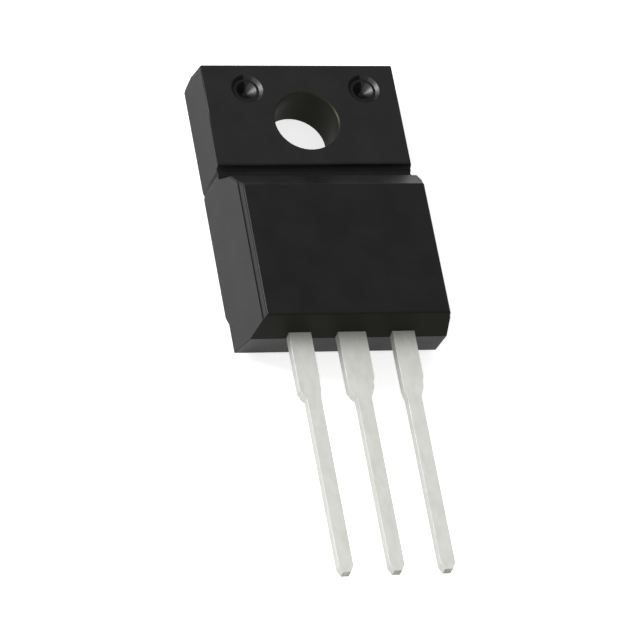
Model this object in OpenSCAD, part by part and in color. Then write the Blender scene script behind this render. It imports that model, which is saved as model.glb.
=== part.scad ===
// Power transistor in a fully moulded three-lead case with a mounting hole.
// It lies on its back: z = 0 is the flat face that goes against a heat sink, and
// the leads point along -Y. The origin is the axis of the mounting hole, on the back face.

/* [Moulded case] */
// Width across the back face
case_width = 10.42; // [9.9:0.02:10.9]
// Thickness from the back face to the front face of the body
case_thickness = 4.5; // [4.4:0.05:5.2]
// Distance from the hole axis to the end face that the leads leave
lead_exit_distance = 12.385; // [12.2:0.005:13.2]
// Draft angle of the side walls up to the front of the tab, leaning in towards the front
side_draft = 4.5; // [2:0.1:7]
// Draft angle of the lead end, from the parting line to the front
exit_draft_front = 5.6; // [2:0.1:10]
// Slope of the lead end, from the parting line down to the relief
exit_draft_back = 11.9; // [4:0.1:20]
// Distance from the hole axis to the lead end of the heat-sink face
seat_end_distance = 9.75; // [9.5:0.05:10.2]
// Height of the relief behind the lead end, which keeps the leads away from the heat sink
relief_height = 0.32; // [0.2:0.02:0.6]
// Slope of the step from the heat-sink face up to the relief
relief_slope = 28; // [20:1:60]
// Radius of the two corners of the tab where they meet the back face
corner_radius = 0.45; // [0.2:0.05:0.8]
// Width of the ledge that runs along both sides below the front face
ledge_width = 0.03; // [0.02:0.005:0.15]
// Distance of that ledge below the front face
ledge_drop = 0.5; // [0.3:0.05:0.8]

/* [Tab] */
// Thickness of the tab
tab_thickness = 2.5; // [2.3:0.05:2.8]
// Distance from the hole axis to the end of the tab, on its front face
tab_top_distance = 3.27; // [2.9:0.01:3.9]
// Draft angle of the end of the tab
tab_end_draft = 7; // [2:0.5:12]
// Diameter of the mounting hole
hole_diameter = 3.3; // [3:0.05:3.6]
// Width of the bevel round the mounting hole, on the front
hole_bevel = 0.06; // [0.02:0.01:0.2]
// Distance from the hole axis to the near edge of the groove at the foot of the body
groove_distance = 2.53; // [2.3:0.01:2.7]
// Depth of that groove below the front face of the tab
groove_depth = 0.32; // [0.2:0.02:0.5]
// Width of the floor of the groove
groove_floor = 0.58; // [0.4:0.02:0.8]
// Depth of the crease that carries the groove on down both sides of the tab
crease_depth = 0.06; // [0.02:0.01:0.15]
// Width of that crease
crease_width = 0.34; // [0.15:0.01:0.5]
// Distance between the two round dimples
dimple_pitch = 6.1; // [5.6:0.05:6.6]
// Distance of the pair of dimples to the right of the hole axis
dimple_offset = 0.25; // [0:0.05:0.4]
// Distance of the dimples from the hole axis, towards the end of the tab
dimple_distance = 1.86; // [1.6:0.02:2.1]
// Diameter of the shallow dish round each dimple
dish_diameter = 1.64; // [1.5:0.02:1.9]
// Diameter of the floor of that dish
dish_floor_diameter = 1.32; // [1.2:0.02:1.4]
// Depth of that dish
dish_depth = 0.15; // [0.06:0.01:0.2]
// Diameter of the mouth of the pit in each dimple
pit_mouth_diameter = 1.04; // [0.8:0.02:1.1]
// Diameter of the flat bottom of the pit
pit_floor_diameter = 0.26; // [0.1:0.02:0.5]
// Depth of the pit below the front face of the tab
pit_depth = 0.54; // [0.3:0.02:0.6]

/* [Body] */
// Draft angle of the side walls above the front of the tab
body_draft = 9.2; // [4:0.1:12]
// Height above the back face of the top edge of the wall that faces the tab
wall_height = 3.38; // [3:0.02:3.8]
// Lean of that wall, away from the tab
wall_lean = 24.5; // [5:0.5:30]
// Angle of the long bevel between that wall and the front face
bevel_angle = 44; // [35:1:55]

/* [Leads] */
// Distance between the centre lines of neighbouring leads
lead_pitch = 2.54; // [2.5:0.01:2.6]
// Thickness of the leads
lead_thickness = 0.5; // [0.4:0.01:0.6]
// Height of the back of the leads above the back face, which is the parting line too
lead_height = 2.47; // [2.3:0.01:2.6]
// Width of the thin part of each lead
lead_width = 0.73; // [0.6:0.01:0.9]
// Length of the leads beyond the case
lead_length = 12.92; // [9:0.02:14]
// Length beyond the case of the full width of each shoulder
shoulder_length = 2.45; // [1.5:0.05:4]
// Length of the taper from the shoulder to the thin part, on the right side of each lead
shoulder_taper = 1.15; // [0.6:0.05:1.6]
// Length of the short step that ends the shoulder on the left side of each lead
shoulder_step = 0.45; // [0.2:0.05:1.6]
// Width of the shoulder of the middle lead
middle_shoulder_width = 1.42; // [1.2:0.02:1.6]
// How far the shoulder of an outer lead stands out on its outer side
outer_shoulder_out = 0.3; // [0.1:0.01:0.5]
// How far the shoulder of an outer lead stands out on its inner side
outer_shoulder_in = 0.1; // [0.02:0.01:0.2]
// Length of the bevels at the tip of each lead
tip_bevel_length = 0.32; // [0.1:0.02:0.6]
// Width of the bevels at the tip of each lead
tip_bevel_width = 0.17; // [0.05:0.01:0.25]

/* [Copper pad] */
// Thickness of the copper pad
pad_thickness = 1.2; // [0.9:0.05:1.3]
// Thickness of the moulding behind the pad, which insulates it
pad_cover = 0.5; // [0.35:0.05:0.6]
// Width of the pad inside the body
pad_width = 8.4; // [7.6:0.1:8.8]
// Width of the head of the pad inside the tab
head_width = 7.8; // [7:0.1:8.2]
// Distance from the hole axis to the end of the head
head_distance = 2.6; // [2.45:0.02:2.75]
// Distance from the hole axis to the neck between the head and the pad
neck_distance = 3.4; // [3.2:0.05:3.7]
// Width of the notch on each side of the neck
neck_notch = 1.1; // [0.6:0.05:1.5]
// Length of that notch
neck_length = 0.9; // [0.6:0.05:1.2]
// Distance from the hole axis to the lead end of the pad
pad_end_distance = 9.2; // [8.9:0.05:9.4]
// Thickness of the moulding between the mounting hole and the copper
hole_cover = 0.65; // [0.45:0.05:0.8]
// Length along the case of the slanted part of the middle lead
strap_run = 1.4; // [1.1:0.05:1.6]

/* [Bond posts] */
// Width of the inner end of each outer lead, where the wires are bonded
post_width = 2.5; // [2.2:0.05:2.7]
// Length of that inner end
post_length = 1.8; // [1.4:0.05:2]
// Distance from the outer end of the case to the near edge of the posts
post_setback = 0.9; // [0.7:0.05:1.1]
// Distance from the centre line of the case to the inner side of each post
post_inset = 1.55; // [1.4:0.05:1.7]

/* [Chip and wires] */
// Width of the silicon chip
die_width = 4.6; // [3.6:0.1:5.2]
// Length of the silicon chip
die_length = 3.8; // [3:0.1:4.2]
// Thickness of the silicon chip
die_thickness = 0.28; // [0.15:0.01:0.4]
// Distance from the hole axis to the middle of the chip
die_distance = 6.5; // [6.3:0.05:6.7]
// Thickness of the solder under the chip
solder_thickness = 0.05; // [0.03:0.01:0.1]
// How far the solder stands out round the chip
solder_margin = 0.12; // [0.05:0.01:0.2]
// Distance of the gate bond from the two nearest edges of the chip
gate_bond_inset = 0.55; // [0.3:0.05:0.8]
// Distance of the source bonds on the chip to the right of the centre line
source_bond_offset = 1.15; // [0.8:0.05:1.4]
// Diameter of the thin gate wire
gate_wire_diameter = 0.13; // [0.08:0.01:0.2]
// Diameter of each thick source wire
source_wire_diameter = 0.38; // [0.25:0.01:0.4]
// Distance between the two source wires
source_wire_pitch = 0.9; // [0.7:0.05:1]
// Height of the bow of the gate wire
gate_wire_bow = 0.7; // [0.5:0.05:0.9]
// Height of the bow of the source wires
source_wire_bow = 0.85; // [0.7:0.05:1]

/* [Hidden] */
$fn = 48;

// Colours as the photograph shows them, and plain metal colours for what it hides
epoxy_colour = [0.16, 0.16, 0.165];
tin_colour = [0.8, 0.8, 0.78];
copper_colour = [0.72, 0.45, 0.3];
solder_colour = [0.62, 0.63, 0.65];
silicon_colour = [0.35, 0.37, 0.42];
wire_colour = [0.85, 0.86, 0.88];

// Reach of cutting solids beyond what they cut
past = 1;
// Depth to which solids of one piece run into each other
bite = 0.05;
// Two bends in the taper of a shoulder, as shares of its length and of its step
bends = [[0.26, 0.72], [0.52, 0.66]];
// Flattened foot of a wire and the rise of its arc, as shares of its diameter
foot_long = 3;
foot_wide = 1.5;
foot_high = 0.8;
arc_rise = 0.45;

// Where the thin part of a lead starts, from the case outwards
thin_start = -shoulder_length - shoulder_taper;

// Levels along Y, from the hole axis
exit_y = -lead_exit_distance;
front_end_y = exit_y + (case_thickness - lead_height) * tan(exit_draft_front);
back_end_y = exit_y + (lead_height - relief_height) * tan(exit_draft_back);
relief_y = -seat_end_distance - relief_height / tan(relief_slope);
tab_end_y = tab_top_distance + tab_thickness * tan(tab_end_draft);
groove_y = -groove_distance;
groove_z = tab_thickness - groove_depth;
groove_slant = groove_depth * tan(wall_lean) / 2;
wall_foot_y = groove_y - groove_slant - groove_floor;
wall_top_y = wall_foot_y - (wall_height - groove_z) * tan(wall_lean);
bevel_end_y = wall_top_y - (case_thickness - wall_height) / tan(bevel_angle);

// Levels along Z
ledge_z = case_thickness - ledge_drop;
pad_top_z = pad_cover + pad_thickness;
die_z = pad_top_z + solder_thickness;
die_top_z = die_z + die_thickness;
lead_top_z = lead_height + lead_thickness;

// Half of the width of the case at a height above the back face
function half_width(z) =
  case_width / 2 - min(z, tab_thickness) * tan(side_draft)
  - max(z - tab_thickness, 0) * tan(body_draft);

// Gate and source leads lie one pitch to the left and to the right
gate_side = -1;
source_side = 1;

// Extrudes an outline given as [y, z] points along X, centred
module along_x(width) {
  rotate([90, 0, 90])
    linear_extrude(height = width, center = true)
      children();
}

// Extrudes an outline given as [x, z] points along Y, between two levels
module along_y(from, to) {
  translate([0, to, 0])
    rotate([90, 0, 0])
      linear_extrude(height = to - from)
        children();
}

// Right edge of the case seen from the end: leaning walls with a small ledge near the front
function end_edge() = [
  [half_width(0), 0], [half_width(tab_thickness), tab_thickness],
  [half_width(ledge_z), ledge_z], [half_width(ledge_z) - ledge_width, ledge_z],
  [half_width(case_thickness) - ledge_width, case_thickness]
];

// The case seen from the end
module end_outline() {
  edge = end_edge();
  other_edge = [for (i = [len(edge) - 1:-1:0]) [-edge[i].x, edge[i].y]];
  polygon(concat(edge, other_edge));
}

// The case seen from the side: relief, lead end, body, long bevel, groove and tab
module side_outline() {
  polygon([
    [-seat_end_distance, 0], [relief_y, relief_height], [back_end_y, relief_height],
    [exit_y, lead_height], [front_end_y, case_thickness],
    [bevel_end_y, case_thickness], [wall_top_y, wall_height], [wall_foot_y, groove_z],
    [groove_y - groove_slant, groove_z], [groove_y, tab_thickness],
    [tab_top_distance, tab_thickness], [tab_end_y, 0]
  ]);
}

// The case seen from the front: a rectangle with round corners at the tab
module plan_outline() {
  inner_x = case_width / 2 - corner_radius;
  high_y = tab_end_y - corner_radius;
  translate([-inner_x, exit_y])
    square([2 * inner_x, tab_end_y - exit_y]);
  translate([-case_width / 2, exit_y])
    square([case_width, high_y - exit_y]);
  for (x = [-inner_x, inner_x])
    translate([x, high_y])
      circle(r = corner_radius);
}

// One of the two round dimples: a shallow dish with a conical pit in it
module dimple() {
  rotate_extrude()
    polygon([
      [0, -pit_depth], [pit_floor_diameter / 2, -pit_depth],
      [pit_mouth_diameter / 2, -dish_depth], [dish_floor_diameter / 2, -dish_depth],
      [dish_diameter / 2, 0],
      [dish_diameter / 2, past], [0, past]
    ]);
}

// Mounting hole with a narrow bevel at its front edge
module hole_cut() {
  translate([0, 0, -past])
    cylinder(d = hole_diameter, h = tab_thickness + 2 * past);
  translate([0, 0, tab_thickness - hole_bevel])
    cylinder(d1 = hole_diameter, d2 = hole_diameter + 4 * hole_bevel, h = 2 * hole_bevel);
}

// Crease down one side of the tab, beside the foot of the body
module side_crease() {
  middle_y = groove_y - groove_slant - groove_floor / 2;
  outline = [[0, crease_width / 2], [-crease_depth, 0], [0, -crease_width / 2], [past, 0]];
  translate([half_width(0), middle_y, 0])
    rotate([0, -side_draft, 0])
      translate([0, 0, -past])
        linear_extrude(height = tab_thickness + 2 * past)
          polygon(outline);
}

// Outside of the moulding, before anything inside is taken out
module case_envelope() {
  difference() {
    intersection() {
      along_y(exit_y - past, tab_end_y + past) end_outline();
      along_x(2 * case_width) side_outline();
      translate([0, 0, -past]) linear_extrude(height = case_thickness + 2 * past) plan_outline();
    }
    hole_cut();
    for (side = [-1, 1])
      translate([dimple_offset + side * dimple_pitch / 2, dimple_distance, tab_thickness])
        dimple();
    for (side = [0, 1])
      mirror([side, 0, 0]) side_crease();
  }
}

module moulded_case() {
  color(epoxy_colour)
    difference() {
      case_envelope();
      pad_and_centre_lead();
      gate_lead();
      source_lead();
      die_attach_solder();
      silicon_die();
      gate_bond_wire();
      source_bond_wire_inner();
      source_bond_wire_outer();
    }
}

// One edge of a lead, from its root at y = inside to its tip. The thin part is at x = 0,
// and the taper ends where the longer one on the right side does.
function lead_edge(step, taper, inside) = [
  [step, inside], [step, thin_start + taper],
  for (bend = bends) [bend.y * step, thin_start + (1 - bend.x) * taper],
  [0, thin_start], [0, tip_bevel_length - lead_length],
  [-tip_bevel_width, -lead_length]
];

// Outline of a lead outside the case and a little inside it. Its shoulder stands out
// by one amount on the left side and by another on the right.
module lead_outline(left, right, inside) {
  half = lead_width / 2;
  left_edge = [for (point = lead_edge(left, shoulder_step, inside)) [-half - point.x, point.y]];
  right_edge = [for (point = lead_edge(right, shoulder_taper, inside)) [half + point.x, point.y]];
  polygon(concat(left_edge, [for (i = [len(right_edge) - 1:-1:0]) right_edge[i]]));
}

// Flat strip of the lead's thickness at the level of the leads
module lead_strip() {
  translate([0, 0, lead_height])
    linear_extrude(height = lead_thickness)
      children();
}

// Plan of the copper pad: the part under the chip, the neck and the head round the hole
module pad_outline() {
  difference() {
    union() {
      translate([-pad_width / 2, -pad_end_distance])
        square([pad_width, pad_end_distance - neck_distance]);
      translate([-head_width / 2, -neck_distance - bite])
        square([head_width, neck_distance + head_distance + bite]);
    }
    circle(d = hole_diameter + 2 * hole_cover);
    for (side = [-1, 1])
      translate([side * pad_width / 2, -neck_distance - neck_length / 2])
        square([2 * neck_notch, neck_length], center = true);
  }
}

// Side view of the slanted strap that joins the pad to the middle lead
module strap_outline() {
  low_z = pad_top_z - lead_thickness;
  polygon([
    [-pad_end_distance + bite, low_z], [-pad_end_distance - bite, low_z],
    [-pad_end_distance - bite - strap_run, lead_height], [exit_y, lead_height],
    [exit_y, lead_top_z], [-pad_end_distance + bite - strap_run, lead_top_z],
    [-pad_end_distance, pad_top_z], [-pad_end_distance + bite, pad_top_z]
  ]);
}

module pad_and_centre_lead() {
  out = (middle_shoulder_width - lead_width) / 2;
  color(copper_colour) {
    translate([0, 0, pad_cover])
      linear_extrude(height = pad_thickness)
        pad_outline();
    along_x(middle_shoulder_width) strap_outline();
  }
  color(tin_colour)
    translate([0, exit_y, 0])
      lead_strip() lead_outline(out, out, bite);
}

// Outer lead with its bond post, on the left or the right of the case. Its shoulder stands
// out by one amount on the left side and by another on the right.
module outer_lead(side, left, right) {
  middle_x = side * (post_inset + post_width / 2);
  color(tin_colour)
    lead_strip() {
      translate([side * lead_pitch, exit_y])
        lead_outline(left, right, post_setback + bite);
      translate([middle_x - post_width / 2, exit_y + post_setback])
        square([post_width, post_length]);
    }
}

module gate_lead() {
  outer_lead(gate_side, outer_shoulder_out, outer_shoulder_in);
}

module source_lead() {
  outer_lead(source_side, outer_shoulder_in, outer_shoulder_out);
}

module die_attach_solder() {
  size = [die_width + 2 * solder_margin, die_length + 2 * solder_margin, solder_thickness];
  color(solder_colour)
    translate([-size.x / 2, -die_distance - size.y / 2, pad_top_z])
      cube(size);
}

module silicon_die() {
  color(silicon_colour)
    translate([-die_width / 2, -die_distance - die_length / 2, die_z])
      cube([die_width, die_length, die_thickness]);
}

// Flattened end of a wire, pressed on the metal below it
module wire_foot(diameter) {
  size = diameter * [foot_long, foot_wide, foot_high];
  translate([-size.x / 2, -size.y / 2, 0])
    cube(size);
}

// Bond wire that bows from one foot to another in a single arc.
// The bow is the greatest distance between the arc and the straight line under it.
module bond_wire(diameter, from, to, bow) {
  flat = [to.x - from.x, to.y - from.y];
  distance = norm(flat);
  height = to.z - from.z;
  chord = norm([distance, height]);
  slope = atan2(height, distance);
  radius = (chord * chord / 4 + bow * bow) / (2 * bow);
  half_angle = asin(chord / 2 / radius);
  sink = radius - bow;
  middle = [distance / 2 + sink * sin(slope), height / 2 - sink * cos(slope)];
  color(wire_colour)
    translate(from)
      rotate([0, 0, atan2(flat.y, flat.x)]) {
        wire_foot(diameter);
        translate([distance, 0, height]) wire_foot(diameter);
        translate([middle.x, 0, middle.y + arc_rise * diameter])
          rotate([90, 0, 0])
            rotate([0, 0, 90 + slope - half_angle])
              rotate_extrude(angle = 2 * half_angle)
                translate([radius, 0])
                  circle(d = diameter, $fn = 24);
      }
}

// Middle of the bond post on one side, on its front face
function post_middle(side) = [
  side * (post_inset + post_width / 2), exit_y + post_setback + post_length / 2, lead_top_z
];

module gate_bond_wire() {
  inset = gate_bond_inset;
  start = [inset - die_width / 2, inset - die_distance - die_length / 2, die_top_z];
  bond_wire(gate_wire_diameter, start, post_middle(gate_side), gate_wire_bow);
}

// One of the two source wires, side by side from the chip to the source post
module source_wire(place) {
  step = place * source_wire_pitch / 2;
  start = [source_bond_offset + step, -die_distance, die_top_z];
  bond_wire(source_wire_diameter, start, post_middle(source_side) + [step, 0, 0], source_wire_bow);
}

module source_bond_wire_inner() {
  source_wire(-1);
}

module source_bond_wire_outer() {
  source_wire(1);
}

moulded_case();
pad_and_centre_lead();
gate_lead();
source_lead();
die_attach_solder();
silicon_die();
gate_bond_wire();
source_bond_wire_inner();
source_bond_wire_outer();
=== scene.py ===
from math import copysign, pi, radians, tan

import bmesh
import bpy
from bpy.props import FloatProperty, FloatVectorProperty, PointerProperty
from bpy.types import Operator, Panel, PropertyGroup
from mathutils import Euler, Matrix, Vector


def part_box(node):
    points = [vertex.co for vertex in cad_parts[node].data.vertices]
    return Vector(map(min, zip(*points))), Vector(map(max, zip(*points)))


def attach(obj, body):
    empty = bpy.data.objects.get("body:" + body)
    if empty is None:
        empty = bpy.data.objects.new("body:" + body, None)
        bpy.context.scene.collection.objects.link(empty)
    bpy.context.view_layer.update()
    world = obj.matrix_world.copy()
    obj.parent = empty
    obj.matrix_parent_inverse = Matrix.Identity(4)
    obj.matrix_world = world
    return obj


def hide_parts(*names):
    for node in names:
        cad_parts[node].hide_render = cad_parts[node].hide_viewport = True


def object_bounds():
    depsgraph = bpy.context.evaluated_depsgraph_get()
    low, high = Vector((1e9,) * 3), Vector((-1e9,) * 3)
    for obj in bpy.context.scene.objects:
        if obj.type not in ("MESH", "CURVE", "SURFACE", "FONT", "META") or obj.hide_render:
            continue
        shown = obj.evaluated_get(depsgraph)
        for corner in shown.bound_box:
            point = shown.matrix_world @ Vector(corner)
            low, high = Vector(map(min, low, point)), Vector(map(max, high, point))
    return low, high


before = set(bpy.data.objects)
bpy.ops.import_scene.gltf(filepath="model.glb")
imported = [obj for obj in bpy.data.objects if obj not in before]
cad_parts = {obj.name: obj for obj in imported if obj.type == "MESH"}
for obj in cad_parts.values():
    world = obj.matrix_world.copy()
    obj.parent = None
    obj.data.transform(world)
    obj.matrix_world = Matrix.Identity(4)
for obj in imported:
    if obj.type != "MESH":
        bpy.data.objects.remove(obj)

bl_info = {
    "name": "Power transistor",
    "version": (1, 0, 0),
    "blender": (4, 5, 0),
    "location": "3D View > Sidebar > Transistor",
    "description": "Finishes a power transistor in a fully moulded case and sets it on a stage",
    "category": "Object",
}

MM = 0.001
CAD_BOX = [list(corner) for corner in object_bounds()]
BODY = "root"

# Heights of the case's front, of the tab's front and of the parting line, in metres
CASE_LOW, CASE_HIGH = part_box("moulded_case")
FRONT_Z = CASE_HIGH.z
TAB_Z = 2.5 * MM
PART_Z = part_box("gate_lead")[0].z
# The wall above the tab and its bevel lie in front of this height
WALL_Z = 2.0 * MM
# Where the leads leave the case, and a line just inside that its lead end lies beyond
EXIT_Y = CASE_LOW.y
END_Y = EXIT_Y + 1 * MM
# How far into the case the centre lead is plated, and a line that all three tips lie beyond
PLATED_Y = EXIT_Y + 0.5 * MM
TIP_Y = EXIT_Y - 12 * MM
# Where the bar that held the leads together was cut off, on the left of each lead
STUB_Y = (EXIT_Y - 2.92 * MM, EXIT_Y - 2.44 * MM)
# Part of a stub's normal towards the left, at the least
STUB_TURN = 0.1
# Middle of the groove between the tab and the body, and how far it reaches from there
GROOVE_Y = -2.9 * MM
GROOVE_REACH = 0.4 * MM
# Lines that the sides, and the top end of the tab, lie beyond
SIDE_X = 4.3 * MM
TOP_Y = 2.9 * MM
# Middles of the two round dimples in the tab, and a radius that takes them in
DIMPLES = (Vector((-2.8 * MM, 1.86 * MM)), Vector((3.3 * MM, 1.86 * MM)))
DIMPLE_RADIUS = 0.9 * MM
# Direction that the dimple walls with a painted glint face, and how squarely they face it
GLINT_SIDE = Vector((-0.95, -0.31))
GLINT_FACING = 0.70
HALF_GLINT_FACING = 0.30
# A radius that takes in the mounting hole with its bevel
HOLE_RADIUS = 1.8 * MM

# Corners nearer than this are one, and faces that turn by less than this lie in one plane
WELD = 0.0002 * MM
SAME_PLANE = radians(0.2)
# A face this near to a height lies on it
NEAR = 0.02 * MM
# A face is level, square to an axis or turned towards it from these parts of its normal
LEVEL = 0.99
SQUARE = 0.9
TURNED = 0.5
# A face is upright when its normal has less than this along Z
UPRIGHT = 0.3
# Edges that turn by more than this stay visible creases
CREASE_ANGLE = radians(10)
# Edges of the case, and of the other pieces, that turn by more than this are rounded
CASE_EDGE_ANGLE = radians(18)
EDGE_ANGLE = radians(28)
# Faces larger than this keep their own normal all over, in square metres
FLAT_AREA = 0.9 * MM * MM

# Places of the two soft lights, the sides of their squares and the point that they aim at
KEY_PLACE = Vector((-0.282, 0.105, 0.138))
KEY_SIDE = 0.127
TOP_PLACE = Vector((0.111, 0.158, 0.289))
TOP_SIDE = 0.30
AIM = Vector((0.0, -0.008, 0.002))
# Half the side of the floor, and how far it lies below the part
FLOOR_REACH = 2.0
FLOOR_DROP = 0.005 * MM


# Settings that a user may change

def length(name, description, default, high):
    """A length, shown in the scene's unit."""
    return FloatProperty(name=name, description=description, default=default,
                         min=0.0, max=high, precision=5, subtype="DISTANCE", unit="LENGTH")


def share(name, description, default, high=1.0):
    """A plain number from 0 up."""
    return FloatProperty(name=name, description=description, default=default,
                         min=0.0, max=high)


def colour(name, description, default):
    """A linear colour."""
    return FloatVectorProperty(name=name, description=description, default=default,
                               min=0.0, max=1.0, size=3, subtype="COLOR")


class CaseSettings(PropertyGroup):
    """Edges and finish of the moulded case"""
    front_radius: length("Front edge radius", "Rounding of the edges round the front face",
                         0.11 * MM, 0.3 * MM)
    bevel_radius: length("Bevel edge radius", "Rounding of both long edges of the bevel",
                         0.015 * MM, 0.3 * MM)
    end_radius: length("End edge radius", "Rounding of the edge between front and lead end",
                       0.10 * MM, 0.3 * MM)
    tab_radius: length("Tab edge radius", "Rounding of the edges of the tab's front",
                       0.08 * MM, 0.3 * MM)
    groove_radius: length("Groove edge radius", "Rounding of the edge between tab and groove",
                          0.12 * MM, 0.2 * MM)
    corner_radius: length("Corner radius", "Rounding of the edges beside the lead end",
                          0.03 * MM, 0.3 * MM)
    tab_corner: length("Tab corner radius", "Rounding of the upright corners of the tab",
                       0.10 * MM, 0.3 * MM)
    back_radius: length("Back edge radius", "Rounding of the edges of the back face",
                        0.05 * MM, 0.2 * MM)
    side_lean: FloatProperty(name="Side lean", description="Draft that the sides are shaded with",
                             default=radians(4.5), min=0.0, max=radians(20), subtype="ANGLE",
                             unit="ROTATION")
    epoxy: colour("Epoxy", "Colour of the moulding", (0.0045, 0.0045, 0.0047))
    filler: colour("Filler", "Colour of the moulding where more filler lies at the surface",
                   (0.0160, 0.0160, 0.0160))
    tab_filler: share("Tab filler", "More filler at the surface of the tab than of the body", 0.56)
    # Pale colour painted into the groove as painted light, and how much of it there is
    groove_light: colour("Groove light", "Pale colour painted into the groove as painted light", (0.0500, 0.0500, 0.0480))
    groove_light_share: share("Groove light share", "Share of the painted light in the groove", 0.8)
    roughness: share("Roughness", "Mean roughness of the moulding", 0.31)
    gloss: share("Gloss", "Specular level of the moulding", 0.13)
    # The dimple walls that face the left get a painted glint, those beside them a weaker one, and
    # the other walls painted shade, all by their specular level
    glint_gloss: share("Painted glint gloss", "Specular level of the dimple walls with the painted glint", 0.62)
    half_glint_gloss: share("Half glint gloss", "Specular level beside the walls with the painted glint", 0.30)
    pin_shade_gloss: share("Pin mark shade gloss", "Specular level of the other walls of the dimples", 0.05)
    # In the mounting hole the specular level is raised to light its wall more and the roughness
    # raised to spread the highlight on its bevel, as painted light and painted shade
    hole_gloss: share("Hole gloss", "Specular level in the mounting hole", 0.20)
    # Above the leads the specular level is lowered as painted shade
    end_gloss: share("End gloss", "Specular level above the leads", 0.08)
    # Low specular level in the groove, as painted shade
    groove_shade_gloss: share("Groove shade gloss", "Specular level in the groove", 0.02)
    olive: colour("Olive tint", "Tint of the moulding in the hole and above the leads",
                  (1.0, 1.0, 0.70))
    dull_roughness: share("Dull roughness", "Roughness in all those places", 0.45)
    grain: length("Grain depth", "Depth of the fine grain of the mould", 0.004 * MM, 0.05 * MM)


class LeadSettings(PropertyGroup):
    """Edges and finish of the leads and the copper pad"""
    edge_radius: length("Edge radius", "Rounding of the stamped edges", 0.006 * MM, 0.1 * MM)
    tin: colour("Tin", "Colour of the plating", (0.64, 0.64, 0.61))
    tin_dull: colour("Dull tin", "Colour of the plating where it is stained",
                     (0.585, 0.585, 0.55))
    cut_metal: colour("Cut metal", "Colour of the faces that were cut after plating",
                      (0.29, 0.28, 0.26))
    copper: colour("Copper", "Colour of the bare copper inside the case", (0.80, 0.40, 0.26))
    roughness: share("Roughness", "Mean roughness of the plating", 0.52)
    grain: length("Grain depth", "Depth of the rolling marks", 0.0015 * MM, 0.05 * MM)


class ChipSettings(PropertyGroup):
    """Finish of the chip, its solder and its wires"""
    silicon: colour("Silicon", "Colour of the chip's metallised front", (0.34, 0.35, 0.38))
    silicon_edge: colour("Silicon edge", "Colour of the sawn sides of the chip",
                         (0.07, 0.075, 0.09))
    solder: colour("Solder", "Colour of the solder under the chip", (0.50, 0.51, 0.52))
    wire: colour("Wire", "Colour of the bond wires", (0.86, 0.87, 0.89))
    edge_radius: length("Solder radius", "Rounding of the edge of the solder",
                        0.015 * MM, 0.02 * MM)


class StageSettings(PropertyGroup):
    """Floor, lights and camera"""
    floor: colour("Floor", "Colour of the floor", (0.84, 0.84, 0.84))
    floor_lift: share("Floor lift", "White added to the floor for the camera", 0.72)
    gloss_lift: share("Gloss lift", "White added to the floor for reflections", 0.36)
    sky: share("Surround", "Strength of the light from all round", 0.44, 3.0)
    key: share("Key light", "Radiance of the soft light on the left", 24.0, 60.0)
    top: share("Top light", "Radiance of the soft light above the tab", 0.10, 10.0)
    lens: FloatProperty(name="Lens", description="Focal length of the camera in millimetres",
                        default=281.25, min=20.0, max=600.0)
    eye: FloatVectorProperty(name="Camera place", description="Where the camera stands",
                             default=(-0.07691, -0.12540, 0.20230), size=3,
                             subtype="TRANSLATION", unit="LENGTH")
    turn: FloatVectorProperty(name="Camera turn", description="Rotation of the camera",
                              default=(radians(31.1805), radians(-15.3162),
                                       radians(-9.9642)),
                              size=3, subtype="EULER", unit="ROTATION")


# Tools for meshes

def joined_copy(node, piece, cut_y=None):
    """New object with a CAD node's surface, its triangles joined into flat faces.

    Where cut_y is given, the faces are parted at that place along Y."""
    form = bmesh.new()
    form.from_mesh(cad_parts[node].data)
    bmesh.ops.remove_doubles(form, verts=form.verts, dist=WELD)
    bmesh.ops.dissolve_limit(form, angle_limit=SAME_PLANE, verts=form.verts,
                             edges=form.edges, use_dissolve_boundaries=False)
    if cut_y is not None:
        bmesh.ops.bisect_plane(form, geom=form.verts[:] + form.edges[:] + form.faces[:],
                               plane_co=(0.0, cut_y, 0.0), plane_no=(0.0, 1.0, 0.0),
                               dist=WELD)
    # The CAD mesh's own UVs and normals don't fit the joined faces
    for layer in list(form.loops.layers.uv):
        form.loops.layers.uv.remove(layer)
    mesh = bpy.data.meshes.new(piece)
    form.to_mesh(mesh)
    form.free()
    if "custom_normal" in mesh.attributes:
        mesh.attributes.remove(mesh.attributes["custom_normal"])
    made = bpy.data.objects.new(piece, mesh)
    bpy.context.scene.collection.objects.link(made)
    return made


def apply_modifiers(piece):
    """Gives a piece the mesh that its modifiers make, and drops them."""
    bpy.context.view_layer.update()
    seen = piece.evaluated_get(bpy.context.evaluated_depsgraph_get())
    mesh = bpy.data.meshes.new_from_object(seen, depsgraph=bpy.context.evaluated_depsgraph_get())
    piece.modifiers.clear()
    old = piece.data
    piece.data = mesh
    bpy.data.meshes.remove(old)
    mesh.name = piece.name


def round_by_weight(piece, radius_of, segments, side_lean):
    """Rounds each edge of a piece by its own radius, which radius_of gives for the edge."""
    form = bmesh.new()
    form.from_mesh(piece.data)
    form.normal_update()
    layer = form.edges.layers.float.new("bevel_weight_edge")
    widths = {edge.index: radius_of(edge) for edge in form.edges if edge.is_manifold}
    widest = max(widths.values())
    form.edges.ensure_lookup_table()
    for index, width in widths.items():
        edge = form.edges[index]
        edge[layer] = width / widest
        edge.smooth = width > 0.0 or edge.calc_face_angle() < CREASE_ANGLE
    form.to_mesh(piece.data)
    form.free()
    bevel = piece.modifiers.new("rounded", "BEVEL")
    bevel.limit_method = "WEIGHT"
    bevel.width = widest
    bevel.segments = segments
    bevel.use_clamp_overlap = False
    finish_rounding(piece, side_lean)


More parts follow.
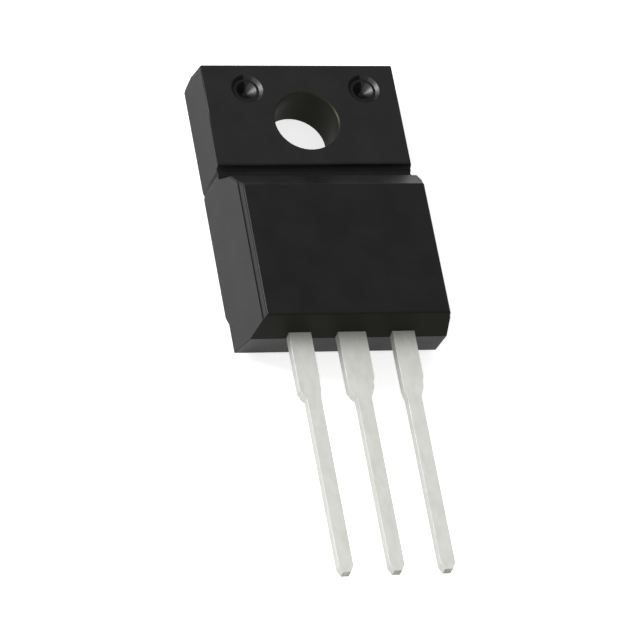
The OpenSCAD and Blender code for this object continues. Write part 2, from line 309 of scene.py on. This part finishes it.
def round_all(piece, radius, segments):
    """Rounds every sharp edge of a piece by the same radius."""
    piece.data.set_sharp_from_angle(angle=CREASE_ANGLE)
    bevel = piece.modifiers.new("rounded", "BEVEL")
    bevel.limit_method = "ANGLE"
    bevel.angle_limit = EDGE_ANGLE
    bevel.width = radius
    bevel.segments = segments
    bevel.use_clamp_overlap = True
    finish_rounding(piece)


def finish_rounding(piece, side_lean=None):
    """Applies a bevel, stays in the CAD box and keeps the flat faces flat in the shading.

    Where side_lean is given, both drafts of the sides are shaded as one face of that draft."""
    apply_modifiers(piece)
    low, high = CAD_BOX
    for corner in piece.data.vertices:
        corner.co = [min(max(corner.co[i], low[i]), high[i]) for i in range(3)]
    piece.data.polygons.foreach_set("use_smooth", [True] * len(piece.data.polygons))
    weighted = piece.modifiers.new("flat_faces", "WEIGHTED_NORMAL")
    weighted.mode = "FACE_AREA"
    weighted.weight = 100
    weighted.keep_sharp = True
    apply_modifiers(piece)
    normals = [corner.vector.copy() for corner in piece.data.corner_normals]
    for face in piece.data.polygons:
        if face.area < FLAT_AREA:
            continue
        toward = face.normal.copy()
        if abs(toward.x) > SQUARE and side_lean is not None:
            toward = Vector((copysign(1.0, toward.x), 0.0, tan(side_lean))).normalized()
        for loop in face.loop_indices:
            normals[loop] = toward
    piece.data.normals_split_custom_set(normals)


def paint(piece, *materials):
    """Gives a piece these materials in place of what it has."""
    piece.data.materials.clear()
    for material in materials:
        piece.data.materials.append(material)


# Tools for materials

# Numbers of a Mix node's colour sockets, which share their names with its other sockets
MIX_COLOURS = (6, 7)
MIX_RESULT = 2


def empty_tree(owner):
    """Node tree of a material or a world, with nothing in it."""
    owner.use_nodes = True
    owner.node_tree.nodes.clear()
    return owner.node_tree


def new_material(name):
    """Material with an output and a Principled BSDF; gives it, its node tree and the BSDF."""
    made = bpy.data.materials.new(name)
    tree = empty_tree(made)
    out = tree.nodes.new("ShaderNodeOutputMaterial")
    shader = tree.nodes.new("ShaderNodeBsdfPrincipled")
    tree.links.new(shader.outputs["BSDF"], out.inputs["Surface"])
    return made, tree, shader


def maths(tree, operation, first, second=None, clamp=False):
    """Math node on one or two sockets or numbers; gives its output."""
    node = tree.nodes.new("ShaderNodeMath")
    node.operation = operation
    node.use_clamp = clamp
    for socket, value in zip(node.inputs, (first, second)):
        if isinstance(value, (int, float)):
            socket.default_value = value
        elif value is not None:
            tree.links.new(value, socket)
    return node.outputs[0]


def map_range(tree, value, low, high, to_low, to_high):
    """Map Range node on one socket; gives its output."""
    node = tree.nodes.new("ShaderNodeMapRange")
    tree.links.new(value, node.inputs["Value"])
    for name, number in (("From Min", low), ("From Max", high),
                         ("To Min", to_low), ("To Max", to_high)):
        node.inputs[name].default_value = number
    return node.outputs["Result"]


def mix_colour(tree, factor, *colours):
    """Mix node between two colours, each a socket or an RGB value; gives its output."""
    node = tree.nodes.new("ShaderNodeMix")
    node.data_type = "RGBA"
    tree.links.new(factor, node.inputs["Factor"])
    for number, value in zip(MIX_COLOURS, colours):
        if hasattr(value, "is_output"):
            tree.links.new(value, node.inputs[number])
        else:
            node.inputs[number].default_value = (*value, 1.0)
    return node.outputs[MIX_RESULT]


def shaded(shade, factor):
    """A colour times a factor."""
    return tuple(factor * part for part in shade)


def place_parts(tree):
    """X, Y and Z outputs of the place in object space, in metres."""
    place = tree.nodes.new("ShaderNodeTexCoord")
    split = tree.nodes.new("ShaderNodeSeparateXYZ")
    tree.links.new(place.outputs["Object"], split.inputs[0])
    return split.outputs


def surface_grain():
    """Node group: fine grain and slow clouds in object space, stretched along one axis.

    Fine and Cloud are sizes in metres, Stretch divides the frequency along Y."""
    if "surface grain" in bpy.data.node_groups:
        return bpy.data.node_groups["surface grain"]
    group = bpy.data.node_groups.new("surface grain", "ShaderNodeTree")
    for name, default in (("Fine", 0.05 * MM), ("Cloud", 1.0 * MM), ("Stretch", 1.0)):
        socket = group.interface.new_socket(name=name, in_out="INPUT",
                                            socket_type="NodeSocketFloat")
        socket.default_value = default
    for name in ("Height", "Clouds", "Specks"):
        group.interface.new_socket(name=name, in_out="OUTPUT", socket_type="NodeSocketFloat")
    nodes, links = group.nodes, group.links
    given = nodes.new("NodeGroupInput")
    result = nodes.new("NodeGroupOutput")
    place = place_parts(group)
    join = nodes.new("ShaderNodeCombineXYZ")
    links.new(place["X"], join.inputs["X"])
    links.new(place["Z"], join.inputs["Z"])
    links.new(maths(group, "DIVIDE", place["Y"], given.outputs["Stretch"]), join.inputs["Y"])

    def noise(size, detail, roughness):
        made = nodes.new("ShaderNodeTexNoise")
        made.inputs["Detail"].default_value = detail
        made.inputs["Roughness"].default_value = roughness
        links.new(join.outputs[0], made.inputs["Vector"])
        links.new(maths(group, "DIVIDE", 1.0, size), made.inputs["Scale"])
        return made.outputs["Fac"]

    fine = noise(given.outputs["Fine"], detail=3.0, roughness=0.65)
    cloud = noise(given.outputs["Cloud"], detail=4.0, roughness=0.55)
    links.new(fine, result.inputs["Height"])
    # Noise stays near its middle, so that part of it is spread over 0 to 1
    links.new(map_range(group, cloud, 0.35, 0.65, 0.0, 1.0), result.inputs["Clouds"])
    # Only its peaks are specks
    links.new(map_range(group, fine, 0.60, 0.75, 0.0, 1.0), result.inputs["Specks"])
    return group


def add_grain(tree, fine, cloud, stretch=1.0):
    """Places the grain group in a material; gives its outputs."""
    node = tree.nodes.new("ShaderNodeGroup")
    node.node_tree = surface_grain()
    node.inputs["Fine"].default_value = fine
    node.inputs["Cloud"].default_value = cloud
    node.inputs["Stretch"].default_value = stretch
    return node.outputs


def vary_roughness(tree, shader, clouds, low, high):
    """Roughness that goes from low to high with the clouds."""
    tree.links.new(map_range(tree, clouds, 0.0, 1.0, low, high), shader.inputs["Roughness"])


def bump(tree, shader, height, depth):
    """Bump node from a height of 0 to 1 and a depth in metres, on the shader's normal."""
    node = tree.nodes.new("ShaderNodeBump")
    node.inputs["Strength"].default_value = 1.0
    node.inputs["Distance"].default_value = depth
    tree.links.new(height, node.inputs["Height"])
    tree.links.new(node.outputs["Normal"], shader.inputs["Normal"])


# Finish of the case

# Shares of the pale filler in the tone of the moulding, from its clouds and its specks
CLOUD_TONE = 0.30
SPECK_TONE = 0.20
# Depths below the tab's front between which its skin of filler fades in
SKIN_DEPTHS = (0.12 * MM, 0.02 * MM)
# How far the roughness goes below and above its mean
EPOXY_SPREAD = (0.03, 0.04)
# Distances from the groove's middle, and depths below the tab's front, where the painted light in
# the groove fades out
GROOVE_LIGHT_EDGES = (0.38 * MM, 0.45 * MM)
GROOVE_LIGHT_DEPTHS = (0.20 * MM, 0.10 * MM)
# Distances from the middle towards the tab where the painted light gets strong, and its share
# before
GROOVE_LIGHT_BANK = (0.22 * MM, 0.30 * MM)
THIN_GROOVE_LIGHT = 0.25


def paint_groove_light(tree, place, base, look):
    """Mixes a little pale colour into a colour as painted light in the groove, strongest at the
    tab's side.
    """
    away = maths(tree, "ABSOLUTE", maths(tree, "SUBTRACT", place["Y"], GROOVE_Y))
    beside = map_range(tree, away, *GROOVE_LIGHT_EDGES, 1.0, 0.0)
    full, none = GROOVE_LIGHT_DEPTHS
    below = map_range(tree, place["Z"], TAB_Z - full, TAB_Z - none, 1.0, 0.0)
    thin, thick = GROOVE_LIGHT_BANK
    swept = map_range(tree, place["Y"], GROOVE_Y + thin, GROOVE_Y + thick,
                      THIN_GROOVE_LIGHT * look.groove_light_share, look.groove_light_share)
    cover = maths(tree, "MULTIPLY", maths(tree, "MULTIPLY", beside, below), swept)
    return mix_colour(tree, cover, base, look.groove_light)


def epoxy_material(look, name, gloss, roughness, groove_lit=False, tint=(1.0, 1.0, 1.0)):
    """Black filled epoxy with the fine matt grain of the mould."""
    made, tree, shader = new_material(name)
    grain = add_grain(tree, fine=0.06 * MM, cloud=1.6 * MM)
    place = place_parts(tree)
    tone = maths(tree, "ADD", maths(tree, "MULTIPLY", grain["Clouds"], CLOUD_TONE),
                 maths(tree, "MULTIPLY", grain["Specks"], SPECK_TONE))
    on_tab = map_range(tree, place["Y"], GROOVE_Y, GROOVE_Y + GROOVE_REACH, 0.0, 1.0)
    none, full = SKIN_DEPTHS
    skin = map_range(tree, place["Z"], TAB_Z - none, TAB_Z - full, 0.0, 1.0)
    tab_tone = maths(tree, "MULTIPLY", maths(tree, "MULTIPLY", on_tab, skin), look.tab_filler)
    tone = maths(tree, "ADD", tone, tab_tone, clamp=True)
    shades = [[part * of_white for part, of_white in zip(shade, tint)]
              for shade in (look.epoxy, look.filler)]
    base = mix_colour(tree, tone, *shades)
    # Painted light: a pale colour mixed into the groove
    if groove_lit:
        base = paint_groove_light(tree, place, base, look)
    tree.links.new(base, shader.inputs["Base Color"])
    below, above = EPOXY_SPREAD
    vary_roughness(tree, shader, grain["Clouds"], roughness - below, roughness + above)
    shader.inputs["Specular IOR Level"].default_value = gloss
    shader.inputs["Specular Tint"].default_value = (*tint, 1.0)
    bump(tree, shader, grain["Height"], look.grain)
    return made


# Finish of the metals and the chip

# How far the plating's roughness goes from its mean
TIN_SPREAD = 0.02


def grained_metal(name, first, second, fine, cloud, stretch, roughness, depth):
    """Metal that goes from one colour to another with the clouds of its grain.

    roughness is one number, or a low and a high one that follow the clouds too."""
    made, tree, shader = new_material(name)
    grain = add_grain(tree, fine, cloud, stretch)
    tree.links.new(mix_colour(tree, grain["Clouds"], first, second),
                   shader.inputs["Base Color"])
    shader.inputs["Metallic"].default_value = 1.0
    if isinstance(roughness, tuple):
        vary_roughness(tree, shader, grain["Clouds"], *roughness)
    else:
        shader.inputs["Roughness"].default_value = roughness
    bump(tree, shader, grain["Height"], depth)
    return made


def plated_material(look):
    """Matt tin over the copper of the leads."""
    return grained_metal("matt_tin", look.tin, look.tin_dull,
                         fine=0.05 * MM, cloud=0.45 * MM, stretch=2.0,
                         roughness=(look.roughness - TIN_SPREAD, look.roughness + TIN_SPREAD),
                         depth=look.grain)


def cut_material(look):
    """Copper and tin smeared by the cutter."""
    return grained_metal("cut_copper", look.cut_metal, shaded(look.cut_metal, 1.5),
                         fine=0.03 * MM, cloud=0.2 * MM, stretch=1.0, roughness=0.5,
                         depth=look.grain)


def copper_material(look):
    """Bare rolled copper inside the case."""
    return grained_metal("bare_copper", look.copper, shaded(look.copper, 0.7),
                         fine=0.05 * MM, cloud=0.9 * MM, stretch=4.0, roughness=0.34,
                         depth=look.grain)


def solder_material(look):
    """Dull solder."""
    return grained_metal("dull_solder", look.solder, shaded(look.solder, 0.75),
                         fine=0.05 * MM, cloud=0.4 * MM, stretch=1.0, roughness=0.42,
                         depth=0.003 * MM)


def wire_material(look):
    """Bright drawn aluminium wire."""
    return grained_metal("drawn_aluminium", look.wire, shaded(look.wire, 0.85),
                         fine=0.02 * MM, cloud=0.3 * MM, stretch=3.0, roughness=0.24,
                         depth=0.0006 * MM)


def silicon_material(look):
    """Chip with a grey metallised front and dark sawn sides."""
    made, tree, shader = new_material("silicon")
    grain = add_grain(tree, fine=0.04 * MM, cloud=0.8 * MM)
    facing = tree.nodes.new("ShaderNodeNewGeometry")
    split = tree.nodes.new("ShaderNodeSeparateXYZ")
    tree.links.new(facing.outputs["True Normal"], split.inputs[0])
    front = maths(tree, "GREATER_THAN", split.outputs["Z"], SQUARE)
    tree.links.new(mix_colour(tree, front, look.silicon_edge, look.silicon),
                   shader.inputs["Base Color"])
    vary_roughness(tree, shader, grain["Clouds"], low=0.22, high=0.34)
    shader.inputs["Metallic"].default_value = 0.6
    bump(tree, shader, grain["Height"], depth=0.001 * MM)
    return made


# The moulded case

def face_kind(face):
    """Name of the case face that a mesh face belongs to, or an empty word."""
    normal = face.normal
    middle = face.calc_center_median()
    if normal.z > LEVEL:
        if middle.z > FRONT_Z - NEAR:
            return "front"
        return "tab" if abs(middle.z - TAB_Z) < NEAR else ""
    if normal.z < -LEVEL:
        return "back" if middle.z < NEAR else ""
    if abs(normal.x) > SQUARE:
        return "side" if abs(middle.x) > SIDE_X else ""
    if middle.y > TOP_Y and abs(middle.x) > SIDE_X and abs(normal.z) < UPRIGHT:
        return "corner"
    if abs(middle.y - GROOVE_Y) < GROOVE_REACH and normal.y < -TURNED:
        return "groove"
    if middle.y < GROOVE_Y + GROOVE_REACH and middle.z > WALL_Z and normal.y > TURNED:
        return "bevel" if normal.z > TURNED else "wall"
    if middle.y > TOP_Y and normal.y > SQUARE:
        return "top"
    if middle.y < END_Y and normal.y < -SQUARE:
        return "exit"
    return ""


def case_radii(look):
    """Function that gives the radius of each edge of the case."""
    table = {
        ("back", "corner"): look.back_radius,
        ("back", "side"): look.back_radius,
        ("back", "top"): look.back_radius,
        ("bevel", "front"): look.bevel_radius,
        ("bevel", "side"): look.front_radius,
        ("bevel", "wall"): look.bevel_radius,
        ("exit", "front"): look.end_radius,
        ("exit", "side"): look.corner_radius,
        ("front", "side"): look.front_radius,
        ("groove", "tab"): look.groove_radius,
        ("side", "tab"): look.tab_radius,
        ("side", "top"): look.tab_corner,
        ("side", "wall"): look.front_radius,
        ("tab", "top"): look.tab_radius,
    }

    def radius_of(edge):
        if edge.calc_face_angle(0.0) < CASE_EDGE_ANGLE or not edge.is_convex:
            return 0.0
        pair = tuple(sorted(face_kind(face) for face in edge.link_faces))
        return table.get(pair, 0.0)

    return radius_of


def in_dimple(face):
    """True for the slanted walls of the two round dimples in the tab."""
    away = min((face.center.xy - middle).length for middle in DIMPLES)
    return away < DIMPLE_RADIUS and UPRIGHT < face.normal.z < SQUARE


def faces_glint_side(face, least):
    """True for the walls of the dimples that face the side with the painted glint at least so
    squarely.
    """
    return in_dimple(face) and face.normal.xy.normalized().dot(GLINT_SIDE) > least


def glint_wall(face):
    """True for the walls of the dimples that get the painted glint."""
    return faces_glint_side(face, GLINT_FACING)


def half_glint_wall(face):
    """True for those walls and the ones on both sides of them, which get a weaker painted glint.
    """
    return faces_glint_side(face, HALF_GLINT_FACING)


def in_hole(face):
    """True for the wall and the bevel of the mounting hole."""
    return face.center.xy.length < HOLE_RADIUS and face.normal.z < SQUARE


def above_leads(face):
    """True for the lead end of the case in front of the parting line."""
    return face.normal.y < -SQUARE and face.center.z > PART_Z and face.center.y < END_Y


def in_groove(face):
    """True for the floor of the groove and the foot of its walls."""
    away = abs(face.center.y - GROOVE_Y)
    low = face.center.z < TAB_Z - NEAR
    return away < GROOVE_REACH and low and abs(face.normal.x) < TURNED


class TRANSISTOR_OT_case(Operator):
    """Build the moulded case with its edges rounded, in grained black epoxy"""
    bl_idname = "transistor.case"
    bl_label = "Moulded case"

    def execute(self, context):
        look = context.scene.transistor_case
        dull = look.dull_roughness
        case = joined_copy("moulded_case", "epoxy_case")
        round_by_weight(case, case_radii(look), segments=3, side_lean=look.side_lean)
        paint(case,
              epoxy_material(look, "black_epoxy", look.gloss, look.roughness),
              # Dimple walls facing the left get a painted glint, those beside them a weaker one,
              # and the rest painted shade, by their specular level
              epoxy_material(look, "painted_glint_epoxy", look.glint_gloss, dull),
              epoxy_material(look, "half_painted_glint_epoxy", look.half_glint_gloss, dull),
              epoxy_material(look, "pin_mark_shade_epoxy", look.pin_shade_gloss, dull),
              # The mounting hole takes its own specular level and roughness as painted light and
              # shade
              epoxy_material(look, "hole_epoxy", look.hole_gloss, dull, tint=look.olive),
              # Above the leads a lower specular level is painted shade
              epoxy_material(look, "lead_end_epoxy", look.end_gloss, dull, tint=look.olive),
              # The groove is painted lighter in colour and duller in gloss, as painted light and
              # painted shade
              epoxy_material(look, "groove_light_and_shade_epoxy", look.groove_shade_gloss, dull, groove_lit=True))
        # The places take the materials after the first, in order, and other faces the first
        places = (glint_wall, half_glint_wall, in_dimple, in_hole, above_leads, in_groove)
        for face in case.data.polygons:
            face.material_index = next((number for number, place in enumerate(places, 1)
                                        if place(face)), 0)
        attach(case, BODY)
        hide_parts("moulded_case")
        return {"FINISHED"}


# The leads and the pad

def was_cut(face):
    """True for the ends of the leads and the stubs of the bar that held them together."""
    if STUB_Y[0] < face.center.y < STUB_Y[1]:
        return face.normal.x < -STUB_TURN and abs(face.normal.z) < UPRIGHT
    return face.center.y < TIP_Y and face.normal.y < -SQUARE


class TRANSISTOR_OT_leads(Operator):
    """Build the three stamped leads and the copper pad"""
    bl_idname = "transistor.leads"
    bl_label = "Leads and pad"

    def execute(self, context):
        look = context.scene.transistor_leads
        finishes = (plated_material(look), cut_material(look), copper_material(look))
        plated, cut, bare = range(len(finishes))
        for node, piece in (("pad_and_centre_lead", "stamped_pad_and_centre_lead"),
                            ("gate_lead", "stamped_gate_lead"),
                            ("source_lead", "stamped_source_lead")):
            lead = joined_copy(node, piece, PLATED_Y)
            round_all(lead, look.edge_radius, segments=2)
            paint(lead, *finishes)
            for face in lead.data.polygons:
                face.material_index = plated
                if was_cut(face):
                    face.material_index = cut
                elif node == "pad_and_centre_lead" and face.center.y > PLATED_Y:
                    face.material_index = bare
            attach(lead, BODY)
            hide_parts(node)
        return {"FINISHED"}


# The chip inside the case

class TRANSISTOR_OT_chip(Operator):
    """Finish the chip, its solder and its bond wires inside the case"""
    bl_idname = "transistor.chip"
    bl_label = "Chip and wires"

    def execute(self, context):
        look = context.scene.transistor_chip
        solder = joined_copy("die_attach_solder", "solder_layer")
        round_all(solder, look.edge_radius, segments=2)
        paint(solder, solder_material(look))
        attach(solder, BODY)
        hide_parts("die_attach_solder")
        paint(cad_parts["silicon_die"], silicon_material(look))
        wire = wire_material(look)
        for node in ("gate_bond_wire", "source_bond_wire_inner", "source_bond_wire_outer"):
            paint(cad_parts[node], wire)
        return {"FINISHED"}


# The stage

def floor_material(look):
    """Pale floor that keeps shadows; the camera and reflections see it whiter."""
    made = bpy.data.materials.new("pale_floor")
    tree = empty_tree(made)
    out = tree.nodes.new("ShaderNodeOutputMaterial")
    shade = tree.nodes.new("ShaderNodeBsdfDiffuse")
    glow = tree.nodes.new("ShaderNodeEmission")
    add = tree.nodes.new("ShaderNodeAddShader")
    shade.inputs["Color"].default_value = (*look.floor, 1.0)
    path = tree.nodes.new("ShaderNodeLightPath")
    seen = maths(tree, "MAXIMUM", path.outputs["Is Camera Ray"],
                 path.outputs["Is Transmission Ray"])
    lift = maths(tree, "MAXIMUM", maths(tree, "MULTIPLY", seen, look.floor_lift),
                 maths(tree, "MULTIPLY", path.outputs["Is Glossy Ray"], look.gloss_lift))
    tree.links.new(lift, glow.inputs["Strength"])
    tree.links.new(shade.outputs[0], add.inputs[0])
    tree.links.new(glow.outputs[0], add.inputs[1])
    tree.links.new(add.outputs[0], out.inputs["Surface"])
    return made


def lay_floor(look):
    """Large flat floor just below the part."""
    form = bmesh.new()
    bmesh.ops.create_grid(form, x_segments=4, y_segments=4, size=FLOOR_REACH)
    mesh = bpy.data.meshes.new("floor")
    form.to_mesh(mesh)
    form.free()
    floor = bpy.data.objects.new("floor", mesh)
    floor.location.z = -FLOOR_DROP
    bpy.context.scene.collection.objects.link(floor)
    paint(floor, floor_material(look))


def set_world(look):
    """Plain surround: white for the camera and in reflections, else a soft light."""
    world = bpy.data.worlds.new("plain_surround")
    bpy.context.scene.world = world
    tree = empty_tree(world)
    out = tree.nodes.new("ShaderNodeOutputWorld")
    glow = tree.nodes.new("ShaderNodeBackground")
    path = tree.nodes.new("ShaderNodeLightPath")
    glow.inputs["Color"].default_value = (1.0, 1.0, 1.0, 1.0)
    seen = maths(tree, "MAXIMUM", path.outputs["Is Camera Ray"],
                 maths(tree, "MAXIMUM", path.outputs["Is Transmission Ray"],
                       path.outputs["Is Glossy Ray"]))
    tree.links.new(map_range(tree, seen, 0.0, 1.0, look.sky, 1.0), glow.inputs["Strength"])
    tree.links.new(glow.outputs[0], out.inputs["Surface"])


def soft_light(name, place, side, radiance):
    """Square soft light of a given radiance, aimed at the middle of the part."""
    lamp = bpy.data.lights.new(name, "AREA")
    lamp.shape = "SQUARE"
    lamp.size = side
    # A square lamp of this power has that radiance
    lamp.energy = radiance * pi * side * side
    made = bpy.data.objects.new(name, lamp)
    made.location = place
    made.rotation_euler = (AIM - place).to_track_quat("-Z", "Y").to_euler()
    bpy.context.scene.collection.objects.link(made)


def place_camera(look):
    """Camera at the photograph's viewing angle."""
    lens = bpy.data.cameras.new("camera")
    lens.sensor_width = 36.0
    lens.lens = look.lens
    lens.clip_start = 0.01
    lens.clip_end = 20.0
    camera = bpy.data.objects.new("camera", lens)
    camera.location = look.eye
    camera.rotation_euler = Euler(look.turn, "XYZ")
    bpy.context.scene.collection.objects.link(camera)
    bpy.context.scene.camera = camera


class TRANSISTOR_OT_stage(Operator):
    """Set the floor, the lights, the surround and the camera"""
    bl_idname = "transistor.stage"
    bl_label = "Stage"

    def execute(self, context):
        look = context.scene.transistor_stage
        lay_floor(look)
        set_world(look)
        soft_light("key_light", KEY_PLACE, KEY_SIDE, look.key)
        soft_light("top_light", TOP_PLACE, TOP_SIDE, look.top)
        place_camera(look)
        context.scene.view_settings.view_transform = "Standard"
        return {"FINISHED"}


# Panel and registration

STEPS = (
    ("transistor.case", "transistor_case", CaseSettings),
    ("transistor.leads", "transistor_leads", LeadSettings),
    ("transistor.chip", "transistor_chip", ChipSettings),
    ("transistor.stage", "transistor_stage", StageSettings),
)


class TRANSISTOR_PT_panel(Panel):
    """Sidebar panel with the part's operators and settings"""
    bl_label = "Power transistor"
    bl_idname = "TRANSISTOR_PT_panel"
    bl_space_type = "VIEW_3D"
    bl_region_type = "UI"
    bl_category = "Transistor"

    def draw(self, context):
        for operator, name, group in STEPS:
            box = self.layout.box()
            box.operator(operator)
            for key in group.__annotations__:
                box.prop(getattr(context.scene, name), key)


CLASSES = (CaseSettings, LeadSettings, ChipSettings, StageSettings, TRANSISTOR_OT_case,
           TRANSISTOR_OT_leads, TRANSISTOR_OT_chip, TRANSISTOR_OT_stage, TRANSISTOR_PT_panel)


def register():
    """Registers the classes and puts the settings on the scene."""
    for item in CLASSES:
        bpy.utils.register_class(item)
    for _, name, group in STEPS:
        setattr(bpy.types.Scene, name, PointerProperty(type=group))


def unregister():
    """Takes the settings and the classes away again."""
    for _, name, _ in STEPS:
        delattr(bpy.types.Scene, name)
    for item in reversed(CLASSES):
        bpy.utils.unregister_class(item)


def main():
    """Registers the classes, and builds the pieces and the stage."""
    register()
    bpy.ops.transistor.case()
    bpy.ops.transistor.leads()
    bpy.ops.transistor.chip()
    bpy.ops.transistor.stage()


if __name__ == "__main__":
    main()
